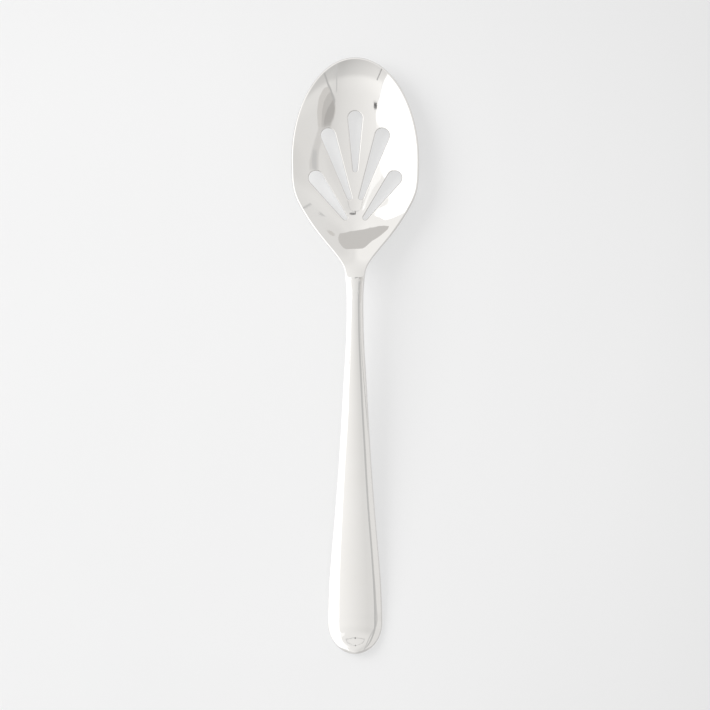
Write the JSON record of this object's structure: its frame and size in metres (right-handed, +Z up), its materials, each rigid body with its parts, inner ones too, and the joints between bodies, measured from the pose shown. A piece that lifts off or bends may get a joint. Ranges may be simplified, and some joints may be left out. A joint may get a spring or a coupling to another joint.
{
  "type": "slotted serving spoon",
  "caption": "One-piece polished steel serving spoon with an egg-shaped bowl pierced by a fan of petal-shaped draining slots, a slim raised neck and a tapering domed handle.",
  "frame": {"origin": "centre of the spoon's outline on the table that it rests on", "axes": "+Y from the handle towards the tip of the bowl, +Z up out of the open bowl, +X to the right of someone who looks from the handle towards the bowl"},
  "size_m": [0.0514, 0.24, 0.0158],
  "materials": {
    "polished_steel": "mirror-polished stainless steel"
  },
  "bodies": {
    "root": {"bowl": "polished_steel", "handle": "polished_steel"}
  },
  "joints": []
}
